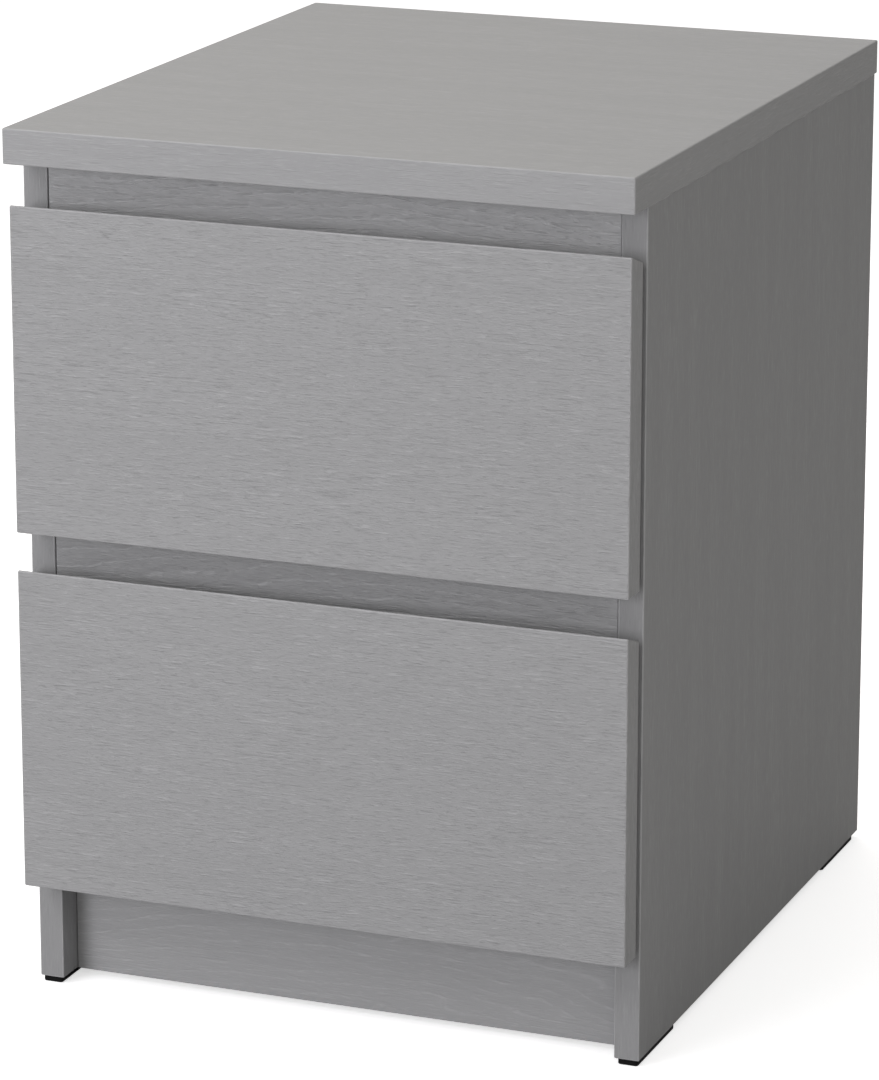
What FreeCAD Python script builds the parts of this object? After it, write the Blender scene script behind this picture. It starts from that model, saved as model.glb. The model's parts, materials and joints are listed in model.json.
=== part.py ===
import FreeCAD, Part
import math
import os

# A two-drawer nightstand in stained veneer: a cabinet of flat boards held by cam fittings and dowels, and
# two drawers with overlay fronts and no handles, which run on roller runners. Millimetres, +Z up, +X to the
# right, the fronts face -Y. The origin is on the floor, under the middle of the top.

Vector = FreeCAD.Vector

# ---- driving dimensions ------------------------------------------------------------------------------
WIDTH = 400.0
DEPTH = 480.0
HEIGHT = 550.0

TOP_THICKNESS = 22.0
BOARD = 16.0                # side panels, rails and plinth
EDGE_RADIUS = 0.8           # rounded arris of every board
FACE_EDGE_RADIUS = 1.0      # the top and the drawer fronts
SIDE_INSET = 1.0            # the top stands this far past each side panel
REAR_INSET = 2.0            # and this far past their rear edges
GLIDE_HEIGHT = 4.0
GLIDE_LENGTH = 68.0
GLIDE_WIDTH = 13.0
GLIDE_OUTER_INSET = 1.2     # in from the side panel's outer face
GLIDE_FRONT_INSET = 1.5     # in from the side panel's front edge
GLIDE_REAR_INSET = 8.5

FRONT_WIDTH = 395.0
FRONT_HEIGHT = 204.0
FRONT_THICKNESS = 20.0
FRONT_INSET = 2.5           # a drawer front's face is this far behind the top's front edge
FRONT_BEVEL_DROP = 7.0      # the upper edge slopes down to the back, as a finger grip
FRONT_CLEARANCE = 3.0       # between a closed front and the side panels' edges
TOP_GAP = 25.0              # finger gap above the upper front
MIDDLE_GAP = 23.5           # finger gap between the two fronts

TOP_RAIL_HEIGHT = 50.0
MIDDLE_RAIL_HEIGHT = 44.0
MIDDLE_RAIL_LAP = 7.0       # the middle rail reaches this far up behind the upper front
PLINTH_HEIGHT = 70.0
RAIL_RECESS = 1.0           # the rails' faces behind the side panels' edges
PLINTH_RECESS = 20.0
RAIL_END_PLAY = 0.2         # joint at each end of a rail

BACK_THICKNESS = 3.0
BACK_INSET = 10.0           # the back panel's rear face, in from the side panels' rear edges
GROOVE_DEPTH = 7.0
GROOVE_PLAY = 0.2

BOX_RISE = 21.0             # a drawer box's underside, up from its front's lower edge
BOX_HEIGHT = 150.0
BOX_LENGTH = 420.0
BOX_BOARD = 12.0
BOX_GROOVE = 5.0
BOX_BOTTOM_RISE = 10.0
BOX_BOTTOM_THICKNESS = 3.0

RUNNER_SPACE = 12.5         # between a side panel and a drawer box
RUNNER_LENGTH = 400.0
RUNNER_SETBACK = 2.0        # the cabinet runner's front end behind the side panel's edge
TONGUE_SETBACK = 1.0        # the drawer runner's front end behind the drawer front
SHEET = 1.2                 # runner sheet steel
CHANNEL_HEIGHT = 26.0
CHANNEL_FLANGE = 10.5
CHANNEL_DROP = 10.0         # the channel's underside, down from the box's underside
TONGUE_HEIGHT = 14.0        # the drawer runner's upper face, up from the box's underside
TONGUE_START = 3.0          # the tongue's free edge, in from the side panel
ROLLER_RADIUS = 10.5
ROLLER_CLEARANCE = 0.3
AXLE_RADIUS = 2.5
AXLE_PLAY = 0.05
FRONT_ROLLER_SETBACK = 14.0
REAR_ROLLER_SETBACK = 12.0
LIFT_IN_LENGTH = 36.0       # the channel has no upper flange here, so that the drawer can be lifted in
STOP_HEIGHT = 4.0
STOP_THICKNESS = 3.0
STOP_CLEARANCE = 0.45
TRAVEL = 310.0

HOLE_PLAY = 0.05            # radial, round every pin, dowel and screw that sits in wood

# fittings, as (radius, length in the host board, length in the target board)
DOWEL_8 = (4.0, 24.0, 11.0)
DOWEL_6 = (3.0, 20.0, 10.0)
# cams, as (radius, depth, half the host board, bolt's thread in the target board)
CAM_16 = (7.5, 12.5, BOARD / 2, 11.0)
CAM_12 = (6.0, 9.5, BOX_BOARD / 2, 10.0)
# screws, as (length, height of the head)
RUNNER_SCREW = (14.0, 0.7)
DRAWER_RUNNER_SCREW = (10.0, 0.7)
BRACKET_SCREW = (16.0, 2.0)
BACK_SCREW = (40.0, 0.4)
SCREW_HEAD_RADIUS = 4.0
SCREW_RADIUS = 1.75
SINK_DEPTH = 2.0            # of a countersunk head's cone

# places of the fittings: front to back on the top, up from the drawer box's underside, or along a runner
TOP_CAMS = (-170.0, 170.0)
TOP_DOWELS = (-130.0, 130.0)
BACK_NAILS = (-150.0, -50.0, 50.0, 150.0)
DRAWER_CAMS = (38.0, 118.0)
DRAWER_DOWELS = (62.0, 94.0)
DRAWER_BACK_SCREWS = (40.0, 110.0)
RUNNER_SCREWS = (60.0, 190.0, 340.0)
DRAWER_RUNNER_SCREWS = (40.0, 200.0, 350.0)

# ---- places that follow from them --------------------------------------------------------------------
SIDE_X = WIDTH / 2 - SIDE_INSET
INNER_X = SIDE_X - BOARD
MID_SIDE_X = SIDE_X - BOARD / 2
UNDER_TOP = HEIGHT - TOP_THICKNESS
FRONT_Y = -DEPTH / 2 + FRONT_INSET
FRONT_BACK_Y = FRONT_Y + FRONT_THICKNESS
SIDE_FRONT_Y = FRONT_BACK_Y + FRONT_CLEARANCE
SIDE_REAR_Y = DEPTH / 2 - REAR_INSET
BACK_FACE_Y = SIDE_REAR_Y - BACK_INSET - BACK_THICKNESS
RAIL_Y = SIDE_FRONT_Y + RAIL_RECESS
PLINTH_Y = SIDE_FRONT_Y + PLINTH_RECESS
UPPER_FRONT_Z = UNDER_TOP - TOP_GAP - FRONT_HEIGHT
LOWER_FRONT_Z = UPPER_FRONT_Z - MIDDLE_GAP - FRONT_HEIGHT
MIDDLE_RAIL_Z = UPPER_FRONT_Z + MIDDLE_RAIL_LAP - MIDDLE_RAIL_HEIGHT
BOX_X = INNER_X - RUNNER_SPACE
BOX_REAR_Y = FRONT_BACK_Y + BOX_LENGTH
RUNNER_FRONT_Y = SIDE_FRONT_Y + RUNNER_SETBACK
TONGUE_FRONT_Y = FRONT_BACK_Y + TONGUE_SETBACK
FRONT_ROLLER_Y = RUNNER_FRONT_Y + FRONT_ROLLER_SETBACK
REAR_ROLLER_Y = TONGUE_FRONT_Y + RUNNER_LENGTH - REAR_ROLLER_SETBACK

DRAWERS = {"upper": UPPER_FRONT_Z, "lower": LOWER_FRONT_Z}
SIDES = {"left": -1, "right": 1}

nodes = {}                  # node name -> one solid
groups = {}                 # node name -> list of identical small solids


# ---- helpers -----------------------------------------------------------------------------------------
def box(x0, x1, y0, y1, z0, z1):
    """A box between two corners given in any order."""
    low = Vector(min(x0, x1), min(y0, y1), min(z0, z1))
    return Part.makeBox(abs(x1 - x0), abs(y1 - y0), abs(z1 - z0), low)


def board(x0, x1, y0, y1, z0, z1, radius=EDGE_RADIUS):
    """A board with every arris rounded."""
    plain = box(x0, x1, y0, y1, z0, z1)
    return plain.makeFillet(radius, plain.Edges)


def rod(start, direction, radius, length):
    return Part.makeCylinder(radius, length, start, direction)


def turned(start, direction, outline):
    """A solid of revolution about the line from start along direction, from (distance, radius) pairs."""
    points = [Vector(radius, 0, distance) for distance, radius in outline]
    points.append(points[0])
    face = Part.Face(Part.makePolygon(points))
    solid = face.revolve(Vector(0, 0, 0), Vector(0, 0, 1), 360)
    turn = FreeCAD.Rotation(Vector(0, 0, 1), direction)
    solid.Placement = FreeCAD.Placement(start, turn)
    return solid


def cut(name, tool):
    nodes[name] = nodes[name].cut(tool)


def collect(group, solid):
    groups.setdefault(group, []).append(solid)


def round_along_y(shape, radius, places):
    """Rounds the edges that run along Y through the given (x, z) places."""
    chosen = []
    for edge in shape.Edges:
        ends = [vertex.Point for vertex in edge.Vertexes]
        if len(ends) != 2 or abs(ends[0].y - ends[1].y) < 1:
            continue
        for x, z in places:
            if abs(ends[0].x - x) < 0.01 and abs(ends[0].z - z) < 0.01 and abs(ends[1].x - x) < 0.01:
                chosen.append(edge)
    return shape.makeFillet(radius, chosen)


# ---- fittings ----------------------------------------------------------------------------------------
def dowel(group, point, inward, host, target, size):
    """A chamfered dowel across the joint at point: inward points from the target board into the host."""
    radius, in_host, in_target = size
    length = in_host + in_target
    chamfer = 1.0
    start = point - inward * in_target
    outline = [(0, 0), (0, radius - chamfer), (chamfer, radius), (length - chamfer, radius),
               (length, radius - chamfer), (length, 0)]
    collect(group, turned(start, inward, outline))
    end_space = 1.0
    hole = rod(start - inward * end_space, inward, radius + HOLE_PLAY, length + 2 * end_space)
    cut(host, hole)
    cut(target, hole)


def cam_fitting(prefix, point, inward, to_face, host, target, size):
    """A cam in the host board that draws in the head of a bolt screwed into the target board.

    point is on the joint, at the middle of the host's thickness; to_face points at the face that shows
    the cam.
    """
    radius, depth, half_board, thread = size
    reach = 24.0
    head_radius = 3.2
    neck_radius = 2.0
    shank_radius = 2.5
    centre = point + inward * reach
    # bolt: a threaded end in the target, a plain shank, a neck and a rounded head
    total = thread + reach
    outline = [(0, 0), (0, shank_radius - 0.8), (0.8, shank_radius), (total - 5.0, shank_radius),
               (total - 4.5, neck_radius), (total - 2.4, neck_radius), (total - 1.6, head_radius),
               (total + 1.2, head_radius), (total + 2.2, head_radius - 1.4), (total + 2.2, 0)]
    collect(prefix + "_cam_bolts", turned(point - inward * thread, inward, outline))
    cut(target, rod(point - inward * (thread + 0.5), inward, shank_radius + HOLE_PLAY, thread + 0.5))
    cut(host, rod(point, inward, head_radius + 0.4, reach))
    # cam: a short cylinder, hollow where the bolt's head sits, with a cross slot in its face
    face = centre + to_face * half_board
    drum = rod(face - to_face * depth, to_face, radius, depth)
    drum = drum.cut(rod(point, inward, head_radius + 0.5, reach + 3.2))
    slot_long = radius * 1.1
    slot_wide = 1.4
    slot_deep = 2.2
    across = to_face.cross(inward)
    for long_way, short_way in ((inward, across), (across, inward)):
        corner = face - long_way * (slot_long / 2) - short_way * (slot_wide / 2) - to_face * slot_deep
        reach_corner = face + long_way * (slot_long / 2) + short_way * (slot_wide / 2) + to_face
        drum = drum.cut(box(corner.x, reach_corner.x, corner.y, reach_corner.y, corner.z, reach_corner.z))
    collect(prefix + "_cams", drum)
    cut(host, rod(face - to_face * (depth + 0.2), to_face, radius + 0.1, depth + 1.2))


def screw(group, seat, inward, size, boards, countersunk=False):
    """A pointed screw driven along inward into the named boards, with its head on or in the face at seat."""
    length, head_height = size
    core = SCREW_RADIUS
    point_length = 4.0
    if countersunk:
        head = [(0, 0), (0, SCREW_HEAD_RADIUS), (head_height, SCREW_HEAD_RADIUS),
                (head_height + SINK_DEPTH, core)]
    else:
        head = [(-head_height, 0), (-head_height, SCREW_HEAD_RADIUS - 0.5), (0, SCREW_HEAD_RADIUS), (0, core)]
    tip = [(length - point_length, core), (length, 0.2), (length, 0)]
    collect(group, turned(seat, inward, head + tip))
    for name in boards:
        cut(name, rod(seat, inward, core + HOLE_PLAY, length + 0.5))


def countersink(seat, inward, head_height):
    """The recess that a countersunk screw's head lies in, with a little room round it."""
    play = 0.1
    rim = SCREW_HEAD_RADIUS + play
    straight = head_height + play
    bottom = straight + rim - SCREW_RADIUS
    return turned(seat, inward, [(-play, 0), (-play, rim), (straight, rim), (bottom, SCREW_RADIUS),
                                 (bottom, 0)])


# ---- cabinet -----------------------------------------------------------------------------------------
def make_cabinet_boards():
    nodes["top_panel"] = board(-WIDTH / 2, WIDTH / 2, -DEPTH / 2, DEPTH / 2, UNDER_TOP, HEIGHT,
                               FACE_EDGE_RADIUS)
    for side, s in SIDES.items():
        nodes["side_panel_" + side] = board(s * INNER_X, s * SIDE_X, SIDE_FRONT_Y, SIDE_REAR_Y,
                                            GLIDE_HEIGHT, UNDER_TOP)
    half = INNER_X - RAIL_END_PLAY
    rails = {
        "front_rail_top": (RAIL_Y, UNDER_TOP - TOP_RAIL_HEIGHT, UNDER_TOP),
        "front_rail_middle": (RAIL_Y, MIDDLE_RAIL_Z, MIDDLE_RAIL_Z + MIDDLE_RAIL_HEIGHT),
        "plinth": (PLINTH_Y, GLIDE_HEIGHT, GLIDE_HEIGHT + PLINTH_HEIGHT),
        "rear_rail": (BACK_FACE_Y - BOARD, GLIDE_HEIGHT, GLIDE_HEIGHT + PLINTH_HEIGHT),
    }
    for name, (y, low, high) in rails.items():
        nodes[name] = board(-half, half, y, y + BOARD, low, high)
        join_rail(name, y + BOARD / 2, (low + high) / 2, (high - low) / 4)


def join_rail(name, y, z, spread):
    """One cam and one dowel at each end of a rail; the cams show on its inner face."""
    to_face = Vector(0, -1 if name == "rear_rail" else 1, 0)
    for side, s in SIDES.items():
        panel = "side_panel_" + side
        inward = Vector(-s, 0, 0)
        cam_fitting("cabinet", Vector(s * INNER_X, y, z + spread), inward, to_face, name, panel, CAM_16)
        dowel("cabinet_dowels", Vector(s * INNER_X, y, z - spread), inward, name, panel, DOWEL_8)


def join_top():
    down = Vector(0, 0, -1)
    for side, s in SIDES.items():
        panel = "side_panel_" + side
        for y in TOP_CAMS:
            cam_fitting("cabinet", Vector(s * MID_SIDE_X, y, UNDER_TOP), down, Vector(-s, 0, 0), panel,
                        "top_panel", CAM_16)
        for y in TOP_DOWELS:
            dowel("cabinet_dowels", Vector(s * MID_SIDE_X, y, UNDER_TOP), down, panel, "top_panel", DOWEL_8)


def make_back():
    """The thin back panel stands in grooves and is nailed to the rear rail."""
    low = 12.0
    end_play = 0.5
    groove_half = INNER_X + GROOVE_DEPTH
    groove_top = UNDER_TOP + GROOVE_DEPTH
    rear_y = BACK_FACE_Y + BACK_THICKNESS
    panel_half = groove_half - end_play
    nodes["back_panel"] = box(-panel_half, panel_half, BACK_FACE_Y, rear_y, low, groove_top - end_play)
    groove = box(-groove_half, groove_half, BACK_FACE_Y, rear_y + GROOVE_PLAY, 0, groove_top)
    for name in ("side_panel_left", "side_panel_right", "top_panel"):
        cut(name, groove)
    length = 15.0
    radius = 0.8
    nail_z = GLIDE_HEIGHT + PLINTH_HEIGHT / 2 + 8.0
    outline = [(-0.8, 0), (-0.8, 1.6), (0, 1.9), (0, radius), (length - 2.0, radius), (length, 0.1),
               (length, 0)]
    forward = Vector(0, -1, 0)
    for x in BACK_NAILS:
        start = Vector(x, rear_y, nail_z)
        collect("back_panel_nails", turned(start, forward, outline))
        hole = rod(start, forward, radius + HOLE_PLAY, length + 0.5)
        cut("back_panel", hole)
        cut("rear_rail", hole)


def make_glides():
    """A moulded glide with two pegs under each end of each side panel."""
    corner = 2.0
    lower_edge = 0.8
    peg_radius = 2.5
    peg_length = 8.0
    peg_inset = 15.0
    places = {"front": SIDE_FRONT_Y + GLIDE_FRONT_INSET,
              "rear": SIDE_REAR_Y - GLIDE_REAR_INSET - GLIDE_LENGTH}
    for side, s in SIDES.items():
        for end, y in places.items():
            x = s * (WIDTH / 2 - SIDE_INSET - GLIDE_OUTER_INSET - GLIDE_WIDTH / 2)
            plate = box(x - GLIDE_WIDTH / 2, x + GLIDE_WIDTH / 2, y, y + GLIDE_LENGTH, 0, GLIDE_HEIGHT)
            upright = [e for e in plate.Edges if abs(e.Vertexes[0].Z - e.Vertexes[1].Z) > 1]
            plate = plate.makeFillet(corner, upright)
            lower = [e for e in plate.Edges if max(v.Z for v in e.Vertexes) < 0.01]
            plate = plate.makeFillet(lower_edge, lower)
            for peg_y in (y + peg_inset, y + GLIDE_LENGTH - peg_inset):
                foot = Vector(s * MID_SIDE_X, peg_y, GLIDE_HEIGHT)
                up = Vector(0, 0, 1)
                plate = plate.fuse(rod(foot, up, peg_radius, peg_length))
                cut("side_panel_" + side, rod(foot, up, peg_radius + HOLE_PLAY, peg_length + 1))
            nodes["glide_" + end + "_" + side] = plate.removeSplitter()


def make_wall_bracket():
    """A steel angle under the top, against the back panel, with two holes for screws into a wall."""
    half_width = 40.0
    leg = 30.0
    steel = 2.0
    hole_radius = 2.5
    hole_x = 25.0
    hole_z = UNDER_TOP - 16.0
    upright = box(-half_width, half_width, BACK_FACE_Y - steel, BACK_FACE_Y, UNDER_TOP - leg, UNDER_TOP)
    level = box(-half_width, half_width, BACK_FACE_Y - leg, BACK_FACE_Y, UNDER_TOP - steel, UNDER_TOP)
    nodes["wall_bracket"] = upright.fuse(level).removeSplitter()
    for x in (-hole_x, hole_x):
        hole = rod(Vector(x, BACK_FACE_Y - leg, hole_z), Vector(0, 1, 0), hole_radius, leg + 10)
        cut("wall_bracket", hole)
        cut("back_panel", hole)
        seat = Vector(x, BACK_FACE_Y - 20.0, UNDER_TOP - steel)
        screw("wall_bracket_screws", seat, Vector(0, 0, 1), BRACKET_SCREW, ["wall_bracket", "top_panel"])


# ---- runners -----------------------------------------------------------------------------------------
def slab(s, u0, u1, y0, y1, z0, z1):
    """A box measured inwards (u) from the inner face of the side panel on side s."""
    return box(s * (INNER_X - u0), s * (INNER_X - u1), y0, y1, z0, z1)


def make_cabinet_runner(which, side, s, floor_z):
    """A steel channel, open towards the drawer; floor_z is the underside of the drawer box."""
    low = floor_z - CHANNEL_DROP
    high = low + CHANNEL_HEIGHT
    rear = RUNNER_FRONT_Y + RUNNER_LENGTH
    web = slab(s, 0, SHEET, RUNNER_FRONT_Y, rear, low, high)
    lower = slab(s, 0, CHANNEL_FLANGE, RUNNER_FRONT_Y, rear, low, low + SHEET)
    upper = slab(s, 0, CHANNEL_FLANGE, RUNNER_FRONT_Y + LIFT_IN_LENGTH, rear, high - SHEET, high)
    channel = web.fuse([lower, upper]).removeSplitter()
    # the two stops are tabs turned up from the lower flange, where the drawer's roller meets them
    drop = ROLLER_RADIUS + ROLLER_CLEARANCE - STOP_HEIGHT
    contact = math.sqrt(ROLLER_RADIUS ** 2 - drop ** 2) + STOP_CLEARANCE
    out_stop = REAR_ROLLER_Y - TRAVEL - contact - STOP_THICKNESS
    for y in (out_stop, REAR_ROLLER_Y + contact):
        tab = slab(s, TONGUE_START, CHANNEL_FLANGE, y, y + STOP_THICKNESS, low, low + SHEET + STOP_HEIGHT)
        channel = channel.fuse(tab)
    name = "runner_" + which + "_" + side
    nodes[name] = channel.removeSplitter()
    inward = Vector(-s, 0, 0)
    axle = Vector(s * INNER_X, FRONT_ROLLER_Y, low + SHEET + ROLLER_CLEARANCE + ROLLER_RADIUS)
    cut(name, rod(axle, inward, AXLE_RADIUS, SHEET))
    add_roller("front_roller_" + which + "_" + side, axle, inward, SHEET + 0.5, CHANNEL_FLANGE - 1.0)
    add_rivet("runner_rivets", axle, inward, CHANNEL_FLANGE - 0.5)
    for along in RUNNER_SCREWS:
        seat = Vector(s * (INNER_X - SHEET), RUNNER_FRONT_Y + along, axle.z)
        screw("runner_screws", seat, Vector(s, 0, 0), RUNNER_SCREW, [name, "side_panel_" + side])


def add_roller(name, axle, inward, near, far):
    """A nylon roller round the axle, between near and far along inward, with a groove in its rim."""
    bore = AXLE_RADIUS + AXLE_PLAY
    soft = 0.6
    outline = [(near, bore), (near, ROLLER_RADIUS - soft), (near + soft, ROLLER_RADIUS),
               (far - soft, ROLLER_RADIUS), (far, ROLLER_RADIUS - soft), (far, bore)]
    nodes[name] = turned(axle, inward, outline)


def add_rivet(group, axle, inward, length):
    """The roller's axle: riveted flush in the runner at one end, with a low head at the other."""
    head = 0.6
    outline = [(0, 0), (0, AXLE_RADIUS), (length - 0.2, AXLE_RADIUS), (length - 0.2, AXLE_RADIUS + 1.5),
               (length + head - 0.2, AXLE_RADIUS + 1.2), (length + head - 0.2, 0)]
    collect(group, turned(axle, inward, outline))


def make_drawer_runner(drawer, side, s, floor_z):
    """A Z-shaped steel rail that wraps the drawer side's lower edge, with a tongue over the rollers."""
    web_u = RUNNER_SPACE - SHEET
    rear = TONGUE_FRONT_Y + RUNNER_LENGTH
    tongue_z = floor_z + TONGUE_HEIGHT
    web = slab(s, web_u, RUNNER_SPACE, TONGUE_FRONT_Y, rear, floor_z - SHEET, tongue_z)
    shelf = slab(s, web_u, RUNNER_SPACE + BOX_BOARD, TONGUE_FRONT_Y, rear, floor_z - SHEET, floor_z)
    tongue = slab(s, TONGUE_START, RUNNER_SPACE, TONGUE_FRONT_Y, rear, tongue_z - SHEET, tongue_z)
    rail = web.fuse([shelf, tongue]).removeSplitter()
    bend_radius = 0.9
    rail = round_along_y(rail, bend_radius, [(s * (INNER_X - web_u), floor_z - SHEET),
                                             (s * BOX_X, tongue_z)])
    name = drawer + "_runner_" + side
    nodes[name] = rail
    outward = Vector(s, 0, 0)
    axle_z = floor_z - CHANNEL_DROP + SHEET + ROLLER_CLEARANCE + ROLLER_RADIUS
    axle = Vector(s * BOX_X, REAR_ROLLER_Y, axle_z)
    cut(name, rod(axle, outward, AXLE_RADIUS, SHEET))
    add_roller(drawer + "_roller_" + side, axle, outward, SHEET + 0.5, RUNNER_SPACE - TONGUE_START - 0.3)
    add_rivet(drawer + "_runner_rivets", axle, outward, RUNNER_SPACE - TONGUE_START + 0.1)
    screw_rise = 5.0
    for along in DRAWER_RUNNER_SCREWS:
        seat = Vector(s * (BOX_X + SHEET), TONGUE_FRONT_Y + along, floor_z + screw_rise)
        screw(drawer + "_runner_screws", seat, Vector(-s, 0, 0), DRAWER_RUNNER_SCREW,
              [name, drawer + "_side_" + side])


# ---- drawers -----------------------------------------------------------------------------------------
def make_front(drawer, low):
    """The overlay front: its upper edge slopes down to the back so that fingers can hook it."""
    high = low + FRONT_HEIGHT
    corners = [Vector(0, FRONT_Y, low), Vector(0, FRONT_BACK_Y, low),
               Vector(0, FRONT_BACK_Y, high - FRONT_BEVEL_DROP), Vector(0, FRONT_Y, high)]
    face = Part.Face(Part.makePolygon(corners + corners[:1]))
    face.translate(Vector(-FRONT_WIDTH / 2, 0, 0))
    front = face.extrude(Vector(FRONT_WIDTH, 0, 0))
    nodes[drawer + "_front"] = front.makeFillet(FACE_EDGE_RADIUS, front.Edges)


def make_drawer(which, low):
    drawer = "drawer_" + which
    floor_z = low + BOX_RISE
    high = floor_z + BOX_HEIGHT
    inner_x = BOX_X - BOX_BOARD
    back_y = BOX_REAR_Y - BOX_BOARD
    make_front(drawer, low)
    for side, s in SIDES.items():
        nodes[drawer + "_side_" + side] = board(s * inner_x, s * BOX_X, FRONT_BACK_Y, BOX_REAR_Y,
                                                floor_z, high)
    nodes[drawer + "_back"] = board(-inner_x, inner_x, back_y, BOX_REAR_Y, floor_z, high)
    # the bottom stands in a groove on all four sides
    play = GROOVE_PLAY
    groove_x = inner_x + BOX_GROOVE
    groove_low = floor_z + BOX_BOTTOM_RISE
    groove = box(-groove_x, groove_x, FRONT_BACK_Y - BOX_GROOVE, back_y + BOX_GROOVE, groove_low,
                 groove_low + BOX_BOTTOM_THICKNESS + play)
    for piece in ("_front", "_side_left", "_side_right", "_back"):
        cut(drawer + piece, groove)
    nodes[drawer + "_bottom"] = box(-groove_x + play, groove_x - play, FRONT_BACK_Y - BOX_GROOVE + play,
                                    back_y + BOX_GROOVE - play, groove_low,
                                    groove_low + BOX_BOTTOM_THICKNESS)
    join_drawer(drawer, floor_z, inner_x + BOX_BOARD / 2, back_y + BOX_BOARD / 2)
    for side, s in SIDES.items():
        make_cabinet_runner(which, side, s, floor_z)
        make_drawer_runner(drawer, side, s, floor_z)


def join_drawer(drawer, floor_z, mid_x, mid_back_y):
    """Cams and dowels hold the front to the sides; screws hold the sides to the back."""
    rearward = Vector(0, 1, 0)
    for side, s in SIDES.items():
        piece = drawer + "_side_" + side
        for rise in DRAWER_CAMS:
            cam_fitting(drawer, Vector(s * mid_x, FRONT_BACK_Y, floor_z + rise), rearward,
                        Vector(-s, 0, 0), piece, drawer + "_front", CAM_12)
        for rise in DRAWER_DOWELS:
            dowel(drawer + "_dowels", Vector(s * mid_x, FRONT_BACK_Y, floor_z + rise), rearward, piece,
                  drawer + "_front", DOWEL_6)
        for rise in DRAWER_BACK_SCREWS:
            seat = Vector(s * BOX_X, mid_back_y, floor_z + rise)
            inward = Vector(-s, 0, 0)
            screw(drawer + "_back_screws", seat, inward, BACK_SCREW, [piece, drawer + "_back"],
                  countersunk=True)
            cut(piece, countersink(seat, inward, BACK_SCREW[1]))


# ---- build and write ---------------------------------------------------------------------------------
make_cabinet_boards()
join_top()
make_back()
make_glides()
make_wall_bracket()
for which, low in DRAWERS.items():
    make_drawer(which, low)

os.makedirs("parts", exist_ok=True)
for name, shape in nodes.items():
    shape.exportStep("parts/" + name + ".step")
for name, solids in groups.items():
    Part.makeCompound(solids).exportStep("parts/" + name + ".step")
print(len(nodes) + len(groups), "nodes")
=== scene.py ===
import json
import math

import bpy
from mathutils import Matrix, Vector


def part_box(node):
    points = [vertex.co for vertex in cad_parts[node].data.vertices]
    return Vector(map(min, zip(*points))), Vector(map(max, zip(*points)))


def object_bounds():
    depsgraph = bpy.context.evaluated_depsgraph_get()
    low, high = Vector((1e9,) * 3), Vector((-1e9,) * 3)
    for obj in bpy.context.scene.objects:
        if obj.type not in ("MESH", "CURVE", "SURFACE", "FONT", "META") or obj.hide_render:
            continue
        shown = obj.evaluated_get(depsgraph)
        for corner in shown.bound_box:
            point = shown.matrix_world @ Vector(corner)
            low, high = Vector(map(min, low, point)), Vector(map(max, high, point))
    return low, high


# The looks of a two-drawer nightstand in grey-stained veneer. All the shapes come from the CAD frame; this
# script gives each of them its material, and sets up the floor, the lights and the camera. Metres.

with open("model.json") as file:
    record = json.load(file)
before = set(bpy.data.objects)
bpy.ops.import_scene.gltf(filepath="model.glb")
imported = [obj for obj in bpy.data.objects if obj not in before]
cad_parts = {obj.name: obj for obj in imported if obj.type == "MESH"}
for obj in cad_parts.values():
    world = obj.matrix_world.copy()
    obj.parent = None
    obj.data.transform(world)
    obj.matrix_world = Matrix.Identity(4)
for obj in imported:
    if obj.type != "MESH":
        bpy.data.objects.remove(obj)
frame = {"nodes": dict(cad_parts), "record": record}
cad_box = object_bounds()
nodes = frame["nodes"]

MM = 0.001


# ---- node graphs -------------------------------------------------------------------------------------
# the two inputs and the output that a Mix node uses for each kind of data
MIX_SOCKETS = {"RGBA": (6, 7, 2), "VECTOR": (4, 5, 1)}
SHIFT_STEPS = (1.0, 1.7, 0.6)       # how far a shifted pattern moves along each axis


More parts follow.
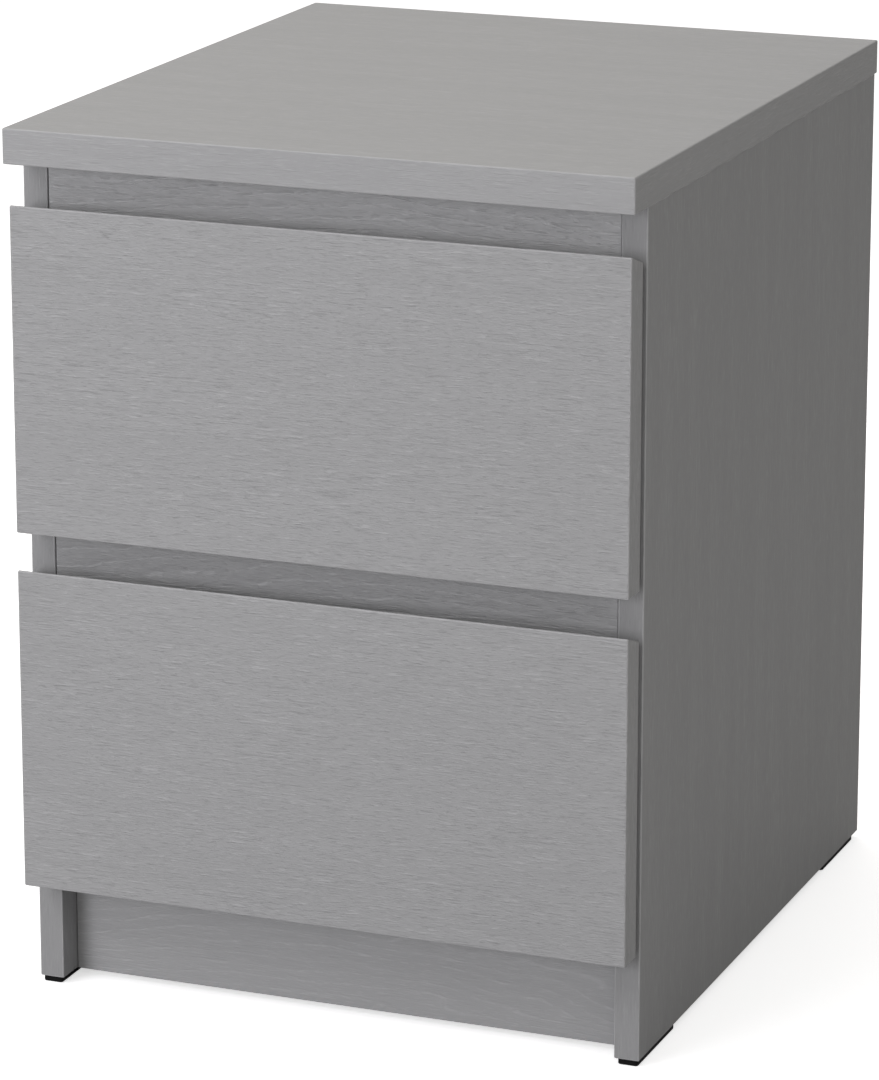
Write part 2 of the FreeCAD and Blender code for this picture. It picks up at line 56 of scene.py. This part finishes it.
class Graph:
    """A material's node tree, built one call at a time."""

    def __init__(self, name):
        self.material = bpy.data.materials.new(name)
        self.material.use_nodes = True
        self.tree = self.material.node_tree
        self.shader = self.tree.nodes["Principled BSDF"]

    def put(self, socket, value):
        if isinstance(value, bpy.types.NodeSocket):
            self.tree.links.new(value, socket)
        else:
            socket.default_value = value

    def add(self, kind, inputs=(), **settings):
        node = self.tree.nodes.new(kind)
        for key, value in settings.items():
            setattr(node, key, value)
        for key, value in dict(inputs).items():
            self.put(node.inputs[key], value)
        return node

    def math(self, operation, a, b=0.0):
        return self.add("ShaderNodeMath", {0: a, 1: b}, operation=operation).outputs[0]

    def vector_math(self, operation, *vectors):
        return self.add("ShaderNodeVectorMath", enumerate(vectors), operation=operation).outputs[0]

    def join(self, x, y, z):
        return self.add("ShaderNodeCombineXYZ", {0: x, 1: y, 2: z}).outputs[0]

    def split(self, vector):
        return self.add("ShaderNodeSeparateXYZ", {0: vector}).outputs

    def mix(self, kind, factor, a, b):
        first, second, result = MIX_SOCKETS[kind]
        node = self.add("ShaderNodeMix", {0: factor, first: a, second: b}, data_type=kind)
        return node.outputs[result]

    def ramp(self, value, low, high, to_low=0.0, to_high=1.0):
        """Smoothly maps value from low..high onto to_low..to_high."""
        node = self.add("ShaderNodeMapRange", {"Value": value, "From Min": low, "From Max": high,
                                               "To Min": to_low, "To Max": to_high},
                        interpolation_type="SMOOTHSTEP")
        return node.outputs["Result"]

    def scaled(self, vector, length, width, shift=0.0):
        """The vector measured in lengths along its first part and in widths along the other two."""
        node = self.add("ShaderNodeMapping", {"Vector": vector,
                                              "Location": tuple(shift * step for step in SHIFT_STEPS),
                                              "Scale": (1 / length, 1 / width, 1 / width)})
        return node.outputs["Vector"]

    def noise(self, vector, detail=2.0, rough=0.5):
        node = self.add("ShaderNodeTexNoise", {"Vector": vector, "Scale": 1.0, "Detail": detail,
                                               "Roughness": rough})
        return node.outputs[0]

    def bump(self, height, distance):
        return self.add("ShaderNodeBump", {"Height": height, "Distance": distance}).outputs["Normal"]

    def object_place(self):
        return self.add("ShaderNodeTexCoord").outputs["Object"]

    def finish(self, color, roughness, normal, **constants):
        """Joins the shader up; constants are sockets with one value, spaces in their names as underscores."""
        self.put(self.shader.inputs["Base Color"], color)
        self.put(self.shader.inputs["Roughness"], roughness)
        self.put(self.shader.inputs["Normal"], normal)
        for key, value in constants.items():
            self.shader.inputs[key.replace("_", " ")].default_value = value
        return self.material


# ---- veneer ------------------------------------------------------------------------------------------
AXES = "XYZ"
END_FACING = 0.7            # a face that looks along the grain by more than this is an end face

STAIN = (0.335, 0.335, 0.338)
RING_TONES = (0.97, 1.03)   # factors on the stain's colour
# the raised fibres' colour: partly the grain's own, partly a painted highlight on their lit lips
FIBRE_TONE_AND_HIGHLIGHT = 1.18
PORE_TONE = 0.94
WORN_AND_HIGHLIGHT_TONE = 0.32            # added on an edge: partly thinner stain, partly a painted highlight
WORN_AND_HIGHLIGHT_SHARE = 0.8            # how far an edge goes over to its lighter colour, thinner stain and painted highlight

LACQUER_SPECULAR = 0.38
PORE_ROUGHNESS = 0.66
FIBRE_ROUGHNESS = 0.48
RELIEF = 0.16 * MM          # height of the fibres over the pores

WANDER_LENGTH = 180 * MM
WANDER_WIDTH = 60 * MM
WANDER_REACH = 4 * MM
YEAR_LENGTH = 160 * MM
YEAR_WIDTH = 14 * MM
LONG_STREAK = (15 * MM, 1.0 * MM)       # length, width
SHORT_STREAK = (7 * MM, 0.7 * MM)
SHORT_STREAK_DEPTH = 0.7

EDGE_WIDTH = 1.0 * MM
EDGE_UNEVENNESS = 25 * MM

RING_SPACING = 8 * MM
ARCH_POWER = 1.4            # 1 would make straight-sided arches, and 2 parabolas
ARCH_SLOPE = 0.2
ARCH_SHIFT = 0.6            # how far the arches' tips stray along the grain
ARCH_DRIFT = 26 * MM        # how far they stray across it
RIPPLE_DEPTH = 5 * MM
PORE_LAG = 0.9              # radians from the line of raised fibres to the pores beside it
BAND_DEPTH = 0.3
LINE_DEPTH = 1.6


def stain(tone):
    """The stain's colour, lighter or darker by a factor; some factors paint highlights and light rather than
    stain.
    """
    return tuple(tone * part for part in STAIN) + (1,)


def grain_coordinates(g, grain, end):
    """A vector whose first part runs along the grain; on the board's end faces it runs along end."""
    coordinates = g.add("ShaderNodeTexCoord").outputs
    place = g.split(coordinates["Object"])
    facing = g.split(coordinates["Normal"])

    def along(axis):
        first = AXES.index(axis)
        return g.join(*(place[(first + step) % len(AXES)] for step in range(len(AXES))))

    towards = g.math("ABSOLUTE", facing[AXES.index(grain)])
    is_end = g.math("GREATER_THAN", towards, END_FACING)
    return g.mix("VECTOR", is_end, along(grain), along(end))


def edge_wear(g, node, seed):
    """1 on the long edges of a board and 0 away from them, uneven: where the stain is drawn lighter, partly
    as thinner stain on the arris and partly as a painted highlight.
    """
    low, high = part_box(node)
    where = g.object_place()
    from_middle = g.vector_math("ABSOLUTE", g.vector_math("SUBTRACT", where, (low + high) / 2))
    x, y, z = g.split(g.vector_math("SUBTRACT", (high - low) / 2, from_middle))
    # the middle one of the three distances to the box's sides is the distance to its nearest edge
    smaller = g.math("MINIMUM", x, y)
    larger = g.math("MAXIMUM", x, y)
    distance = g.math("MAXIMUM", smaller, g.math("MINIMUM", larger, z))
    rough = g.noise(g.scaled(where, EDGE_UNEVENNESS, EDGE_UNEVENNESS, seed), 3.0)
    reach = g.ramp(rough, 0.25, 0.75, 0.5 * EDGE_WIDTH, 1.3 * EDGE_WIDTH)
    return g.ramp(g.math("DIVIDE", distance, reach), 1.0, 0.6)


def streaks(g, grain, size, seed):
    """Fine lens-shaped marks along the grain: -1 in a pore, 1 on a raised fibre, 0 between them."""
    length, width = size
    value = g.noise(g.scaled(grain, length, width, seed))
    fibres = g.ramp(value, 0.55, 0.70)
    pores = g.ramp(value, 0.42, 0.28)
    return g.math("SUBTRACT", fibres, pores)


def wandered(g, vector, seed):
    """The vector with a slow wander across the grain, which bends the grain lines a little."""
    wander = g.noise(g.scaled(vector, WANDER_LENGTH, WANDER_WIDTH, seed))
    offset = g.math("MULTIPLY", g.math("SUBTRACT", wander, 0.5), WANDER_REACH)
    return g.vector_math("ADD", vector, g.join(0.0, offset, offset))


def cathedral(g, vector, seed):
    """Flat-sawn figure: nested pointed arches along the grain, as soft bands and as broken lines of pores."""
    along, _, across = g.split(vector)
    stray = g.noise(g.scaled(vector, 220 * MM, 60 * MM, seed + 17))
    along = g.math("ADD", along, g.math("MULTIPLY", g.math("SUBTRACT", stray, 0.5), ARCH_SHIFT))
    arch = g.math("MULTIPLY", g.math("POWER", g.math("ABSOLUTE", along), ARCH_POWER), ARCH_SLOPE)
    ripple = g.noise(g.scaled(vector, 30 * MM, 12 * MM, seed + 19), 3.0)
    across = g.math("ADD", across, g.math("MULTIPLY", stray, ARCH_DRIFT))
    across = g.math("ADD", across, g.math("MULTIPLY", ripple, RIPPLE_DEPTH))
    phase = g.math("MULTIPLY", g.math("ADD", across, arch), 2 * math.pi / RING_SPACING)
    bands = g.math("SINE", phase)
    pores = g.ramp(g.math("SINE", g.math("SUBTRACT", phase, PORE_LAG)), 0.7, 1.0)
    lines = g.math("SUBTRACT", g.ramp(bands, 0.75, 1.0), g.math("MULTIPLY", pores, 0.7))
    gaps = g.ramp(g.noise(g.scaled(vector, 7 * MM, 5 * MM, seed + 23)), 0.42, 0.60)
    return bands, g.math("MULTIPLY", lines, gaps)


def veneer(node, grain, end, seed, tone=1.0, contrast=1.0, figure=0.0, wear=1.0):
    """Open-pored ash veneer under an even grey stain and a matt lacquer: the grain shows mostly as relief.

    tone sets how light the board's stain is drawn, and on the top rail and the plinth it also lifts them as
    painted light against the shade of their recesses; contrast is the depth of the grain, figure that of the
    arches, and the last argument how light the edges are drawn, partly as thinner stain and partly as a
    painted highlight.
    """
    g = Graph("veneer_" + node)
    vector = wandered(g, grain_coordinates(g, grain, end), seed)
    # year rings: soft bands along the grain, some with deeper pores than others
    rings = g.noise(g.scaled(vector, YEAR_LENGTH, YEAR_WIDTH, seed + 3), 2.0, 0.55)
    open_pores = g.ramp(rings, 0.30, 0.65, 0.55, 1.0)
    long_streaks = g.math("MULTIPLY", streaks(g, vector, LONG_STREAK, seed + 5), open_pores)
    short_streaks = g.math("MULTIPLY", streaks(g, vector, SHORT_STREAK, seed + 9), SHORT_STREAK_DEPTH)
    marks = g.math("MULTIPLY", g.math("ADD", long_streaks, short_streaks), contrast)
    if figure:
        bands, lines = cathedral(g, vector, seed)
        rings = g.math("ADD", rings, g.math("MULTIPLY", bands, BAND_DEPTH * figure))
        marks = g.math("ADD", marks, g.math("MULTIPLY", lines, LINE_DEPTH * figure))
    # the stain is nearly even: a little darker in the pores, and lighter on the fibres and edges, there
    # partly the wood's own colour and thinner stain, partly a painted highlight
    fibres = g.math("MAXIMUM", marks, 0.0)
    pores = g.math("MULTIPLY", g.math("MINIMUM", marks, 0.0), -1.0)
    worn_and_highlit = g.math("MULTIPLY", edge_wear(g, node, seed), WORN_AND_HIGHLIGHT_SHARE)
    base = g.mix("RGBA", g.ramp(rings, 0.2, 0.8), *(stain(tone * factor) for factor in RING_TONES))
    # fibres drawn lighter, partly as a painted highlight
    base = g.mix("RGBA", fibres, base, stain(tone * FIBRE_TONE_AND_HIGHLIGHT))
    base = g.mix("RGBA", pores, base, stain(tone * PORE_TONE))
    # edges drawn lighter: thinner stain on the arris and a painted highlight
    base = g.mix("RGBA", worn_and_highlit, base, stain(tone * (1 + WORN_AND_HIGHLIGHT_TONE * wear)))
    rough = g.ramp(g.math("SUBTRACT", marks, worn_and_highlit), -1.0, 1.0, PORE_ROUGHNESS, FIBRE_ROUGHNESS)
    return g.finish(base, rough, g.bump(marks, RELIEF), Specular_IOR_Level=LACQUER_SPECULAR)


# ---- plain materials -----------------------------------------------------------------------------------
GLOSS_SPREAD = 0.06         # a plain material's roughness is uneven by this much, up and down


def plain_material(name, color, roughness, grain_size, variation, relief, mottle_size=30 * MM, **constants):
    """A moulded or coated surface: slight mottling, and a fine texture in its gloss."""
    g = Graph(name)
    where = g.object_place()
    mottle = g.noise(g.scaled(where, mottle_size, mottle_size), 3.0)
    grain = g.noise(g.scaled(where, grain_size, grain_size), 3.0, 0.6)
    darker = tuple(c * (1 - variation) for c in color)
    lighter = tuple(min(1.0, c * (1 + variation)) for c in color)
    base = g.mix("RGBA", g.ramp(mottle, 0.3, 0.7), (*darker, 1), (*lighter, 1))
    rough = g.ramp(grain, 0.3, 0.7, roughness - GLOSS_SPREAD, roughness + GLOSS_SPREAD)
    return g.finish(base, rough, g.bump(grain, relief), **constants)


# ---- which node gets which material --------------------------------------------------------------------
def give(material, *names):
    for name in names:
        mesh = nodes[name].data
        mesh.materials.clear()
        mesh.materials.append(material)


def give_veneer(node, grain, end, seed, **looks):
    give(veneer(node, grain, end, seed, **looks), node)


def dress_cabinet():
    give_veneer("top_panel", "X", "Y", 1.0, tone=1.01, contrast=0.55, wear=0.7)
    for seed, side in ((2.0, "left"), (3.0, "right")):
        # the side panels' edges are lightened strongly, mostly a painted highlight on their front arris in
        # the gap beside the drawers
        give_veneer("side_panel_" + side, "Z", "Y", seed, tone=0.87, contrast=0.5, wear=1.8)
    # tone 1.17 lightens this rail as painted light, against the shade under the top's overhang
    give_veneer("front_rail_top", "X", "Z", 4.0, tone=1.17, figure=1.0, wear=0.0)
    give_veneer("front_rail_middle", "X", "Z", 5.3, figure=0.8, wear=0.0)
    # tone 1.1 lightens the plinth as painted light, against the shade under the lower drawer front
    give_veneer("plinth", "X", "Z", 6.1, tone=1.1, contrast=0.5, figure=0.3, wear=0.0)
    give_veneer("rear_rail", "X", "Z", 7.7)


def dress_drawers():
    board = plain_material("drawer_board_foil", (0.62, 0.62, 0.60), roughness=0.5, grain_size=0.6 * MM,
                           variation=0.02, relief=0.01 * MM)
    bottom = plain_material("drawer_bottom_paint", (0.58, 0.58, 0.56), roughness=0.55, grain_size=0.5 * MM,
                            variation=0.02, relief=0.01 * MM)
    for seed, which in ((8.5, "upper"), (9.9, "lower")):
        drawer = "drawer_" + which
        give_veneer(drawer + "_front", "X", "Z", seed)
        give(board, drawer + "_side_left", drawer + "_side_right", drawer + "_back")
        give(bottom, drawer + "_bottom")


def dress_fittings():
    slots = {
        "runner_steel": plain_material("runner_enamel", (0.74, 0.74, 0.72), roughness=0.35,
                                       grain_size=1.5 * MM, variation=0.02, relief=0.015 * MM),
        "zinc": plain_material("zinc_plating", (0.60, 0.60, 0.62), roughness=0.35,
                               grain_size=0.5 * MM, variation=0.08, relief=0.01 * MM, Metallic=1.0),
        "nylon": plain_material("nylon", (0.80, 0.80, 0.77), roughness=0.4,
                                grain_size=0.8 * MM, variation=0.03, relief=0.01 * MM),
        "dowel_wood": plain_material("beech", (0.62, 0.46, 0.28), roughness=0.6,
                                     grain_size=0.5 * MM, variation=0.08, relief=0.03 * MM),
        "glide_plastic": plain_material("glide_plastic", (0.006, 0.006, 0.006), roughness=0.5,
                                        grain_size=0.4 * MM, variation=0.2, relief=0.03 * MM,
                                        Specular_IOR_Level=0.15),
        "hardboard": plain_material("hardboard", (0.34, 0.26, 0.18), roughness=0.75,
                                    grain_size=0.8 * MM, variation=0.12, relief=0.05 * MM,
                                    mottle_size=3 * MM),
    }
    for entry in frame["record"]["subparts"]:
        if entry["material_slot"] in slots:
            give(slots[entry["material_slot"]], entry["node"])


# ---- floor, light and camera -------------------------------------------------------------------------
FLOOR_SIZE = 40
FLOOR_GAP = 0.05 * MM       # from the glides' undersides down to the floor
FLOOR_MOTTLE = 0.3
FLOOR_ROUGHNESS = 0.8
FLOOR_GLOW = 0.6
FLOOR_BOUNCE = 0.5

FILL = 0.45
FILL_COLOR = (1.0, 0.985, 0.965, 1)
WHITE = (1, 1, 1, 1)

CAMERA_PLACE = (1.099, -2.827, 1.114)
CAMERA_TILT = 75.07         # degrees up from looking straight down
CAMERA_TURN = 21.49         # degrees to the left of looking straight back
CAMERA_LENS = 164           # focal length and sensor in millimetres
CAMERA_SENSOR = 36
CAMERA_SHIFT = -0.074
CAMERA_REACH = 100


def make_floor():
    """A light table: it looks white, with pale shadows, and throws only a little light back up."""
    bpy.ops.mesh.primitive_plane_add(size=FLOOR_SIZE, location=(0, 0, cad_box[0].z - FLOOR_GAP))
    floor = bpy.context.object
    floor.name = "floor"
    g = Graph("floor_paint")
    mottle = g.noise(g.scaled(g.object_place(), FLOOR_MOTTLE, FLOOR_MOTTLE), 3.0)
    seen = g.shader
    g.put(seen.inputs["Base Color"], g.mix("RGBA", mottle, (0.94, 0.94, 0.94, 1), (0.95, 0.95, 0.95, 1)))
    g.put(seen.inputs["Roughness"], FLOOR_ROUGHNESS)
    g.put(seen.inputs["Emission Color"], WHITE)
    g.put(seen.inputs["Emission Strength"], FLOOR_GLOW)
    unseen = g.add("ShaderNodeBsdfDiffuse", {"Color": (FLOOR_BOUNCE, FLOOR_BOUNCE, FLOOR_BOUNCE, 1)})
    path = g.add("ShaderNodeLightPath")
    mixed = g.add("ShaderNodeMixShader", {0: path.outputs["Is Camera Ray"], 1: unseen.outputs[0],
                                          2: seen.outputs[0]})
    g.put(g.tree.nodes["Material Output"].inputs["Surface"], mixed.outputs[0])
    floor.data.materials.append(g.material)


def area_light(name, place, size, power, color):
    """A round soft light at place, turned to the middle of the object."""
    light = bpy.data.lights.new(name, "AREA")
    light.shape = "DISK"
    light.size = size
    light.energy = power
    light.color = color
    lamp = bpy.data.objects.new(name, light)
    lamp.location = place
    towards = (cad_box[0] + cad_box[1]) / 2 - Vector(place)
    lamp.rotation_euler = towards.to_track_quat("-Z", "Y").to_euler()
    bpy.context.scene.collection.objects.link(lamp)


def make_world():
    """Even fill light from all round, in front of a white backdrop."""
    world = bpy.data.worlds.new("studio")
    bpy.context.scene.world = world
    world.use_nodes = True
    tree = world.node_tree
    tree.nodes.clear()
    path = tree.nodes.new("ShaderNodeLightPath")
    fill = tree.nodes.new("ShaderNodeBackground")
    fill.inputs["Color"].default_value = FILL_COLOR
    fill.inputs["Strength"].default_value = FILL
    backdrop = tree.nodes.new("ShaderNodeBackground")
    backdrop.inputs["Color"].default_value = WHITE
    mix = tree.nodes.new("ShaderNodeMixShader")
    out = tree.nodes.new("ShaderNodeOutputWorld")
    tree.links.new(path.outputs["Is Camera Ray"], mix.inputs[0])
    tree.links.new(fill.outputs[0], mix.inputs[1])
    tree.links.new(backdrop.outputs[0], mix.inputs[2])
    tree.links.new(mix.outputs[0], out.inputs["Surface"])


def make_lights():
    area_light("key", (-1.7, -1.9, 2.6), 1.6, 31, (1.0, 1.0, 1.02))
    area_light("overhead", (-0.7, 0.9, 2.7), 2.0, 25, (1.0, 0.97, 0.92))
    area_light("front", (-1.4, -3.2, 0.9), 1.6, 40, (1.0, 0.995, 1.05))
    area_light("front_right", (1.5, -3.3, 1.1), 1.6, 5, (1.0, 1.0, 1.02))
    area_light("right", (3.0, -1.6, 1.9), 1.6, 6, (1.0, 0.97, 0.94))
    bpy.context.scene.view_settings.view_transform = "Standard"


def make_camera():
    camera = bpy.data.cameras.new("camera")
    camera.sensor_width = CAMERA_SENSOR
    camera.lens = CAMERA_LENS
    camera.shift_y = CAMERA_SHIFT
    camera.clip_end = CAMERA_REACH
    holder = bpy.data.objects.new("camera", camera)
    holder.location = CAMERA_PLACE
    holder.rotation_euler = (math.radians(CAMERA_TILT), 0, math.radians(CAMERA_TURN))
    bpy.context.scene.collection.objects.link(holder)
    bpy.context.scene.camera = holder


dress_cabinet()
dress_drawers()
dress_fittings()
make_floor()
make_world()
make_lights()
make_camera()
